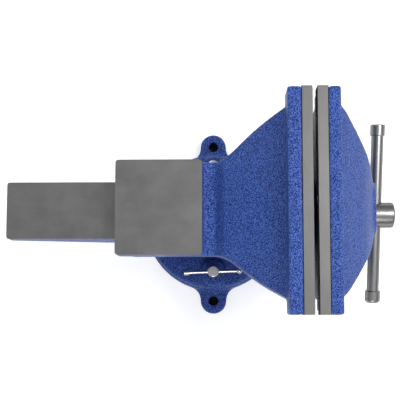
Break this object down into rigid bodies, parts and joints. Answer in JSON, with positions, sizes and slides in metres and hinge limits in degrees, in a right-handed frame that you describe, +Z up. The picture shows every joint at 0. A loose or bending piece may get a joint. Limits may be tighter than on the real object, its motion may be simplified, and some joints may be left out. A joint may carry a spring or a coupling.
{
  "type": "bench vise",
  "caption": "Heavy bench vise with wide steel jaw plates, an anvil, a long slide, a screw with a sliding handle and a swivel base with two locks.",
  "frame": {"origin": "on the swivel axis, in the plane of the bench under the base", "axes": "+X along the spindle towards the handle, +Y across the jaws, +Z up from the bench"},
  "size_m": [0.4782, 0.254, 0.246],
  "materials": {
    "casting_paint": "glossy textured paint over cast iron, with ground faces",
    "jaw_steel": "ground, with a cut grip pattern",
    "spindle_steel": "turned",
    "handle_chrome": "satin plated",
    "lock_steel": "plated",
    "fastener_steel": "blackened",
    "spring_steel": "drawn wire",
    "nut_bronze": "machined bronze",
    "raw_iron": "as machined"
  },
  "bodies": {
    "base": {"swivel_base": "casting_paint"},
    "swivel_body": {"fixed_jaw_body": "casting_paint", "fixed_jaw_plate": "jaw_steel", "fixed_plate_screws": "fastener_steel", "main_nut": "nut_bronze", "nut_bolt": "fastener_steel", "nut_bolt_washer": "fastener_steel", "pivot_bolt": "fastener_steel", "pivot_washer": "fastener_steel"},
    "moving_jaw_body": {"moving_jaw": "casting_paint", "moving_jaw_plate": "jaw_steel", "moving_plate_screws": "fastener_steel", "thrust_washer": "spindle_steel", "thrust_spring": "spring_steel"},
    "spindle_body": {"spindle": "spindle_steel", "spring_collar": "spindle_steel", "retaining_pin": "fastener_steel"},
    "handle": {"handle_bar": "handle_chrome", "handle_cap_upper": "handle_chrome", "handle_cap_lower": "handle_chrome"},
    "shoe_left": {"clamp_shoe_left": "raw_iron"},
    "shoe_right": {"clamp_shoe_right": "raw_iron"},
    "lock_left": {"lock_screw_left": "lock_steel"},
    "lock_right": {"lock_screw_right": "lock_steel"},
    "lock_handle_left": {"lock_bar_left": "lock_steel", "lock_bar_cap_left": "lock_steel"},
    "lock_handle_right": {"lock_bar_right": "lock_steel", "lock_bar_cap_right": "lock_steel"}
  },
  "joints": [
    {"name": "swivel", "type": "hinge", "parent": "base", "child": "swivel_body", "pos_m": [0, 0, 0], "axis": [0, 0, 1], "continuous": true},
    {"name": "jaw_slide", "type": "slide", "parent": "swivel_body", "child": "moving_jaw_body", "axis": [1, 0, 0], "range_m": [-0.0041, 0.2]},
    {"name": "spindle_turn", "type": "hinge", "parent": "moving_jaw_body", "child": "spindle_body", "pos_m": [0.2, 0, 0.1], "axis": [1, 0, 0], "range_deg": [-295, 14390]},
    {"name": "handle_slide", "type": "slide", "parent": "spindle_body", "child": "handle", "axis": [0.0175, 0.9847, 0.1736], "range_m": [-0.082, 0.079]},
    {"name": "lock_turn_left", "type": "hinge", "parent": "swivel_body", "child": "lock_left", "pos_m": [0, -0.0692, 0.06], "axis": [0, 0, 1], "range_deg": [0, 360]},
    {"name": "shoe_drop_left", "type": "slide", "parent": "swivel_body", "child": "shoe_left", "axis": [0, 0, -1], "range_m": [0, 0.0018]},
    {"name": "lock_bar_slide_left", "type": "slide", "parent": "lock_left", "child": "lock_handle_left", "axis": [0.9994, 0.0349, 0], "range_m": [-0.02, 0.02]},
    {"name": "lock_turn_right", "type": "hinge", "parent": "swivel_body", "child": "lock_right", "pos_m": [0, 0.0692, 0.06], "axis": [0, 0, 1], "range_deg": [0, 360]},
    {"name": "shoe_drop_right", "type": "slide", "parent": "swivel_body", "child": "shoe_right", "axis": [0, 0, -1], "range_m": [0, 0.0018]},
    {"name": "lock_bar_slide_right", "type": "slide", "parent": "lock_right", "child": "lock_handle_right", "axis": [0.9994, 0.0349, 0], "range_m": [-0.02, 0.02]}
  ],
  "couplings": [
    {"joint": "jaw_slide", "follows": "spindle_turn", "m_per_rad": 0.00079577},
    {"joint": "shoe_drop_left", "follows": "lock_turn_left", "m_per_rad": 0.00027852},
    {"joint": "shoe_drop_right", "follows": "lock_turn_right", "m_per_rad": 0.00027852}
  ]
}
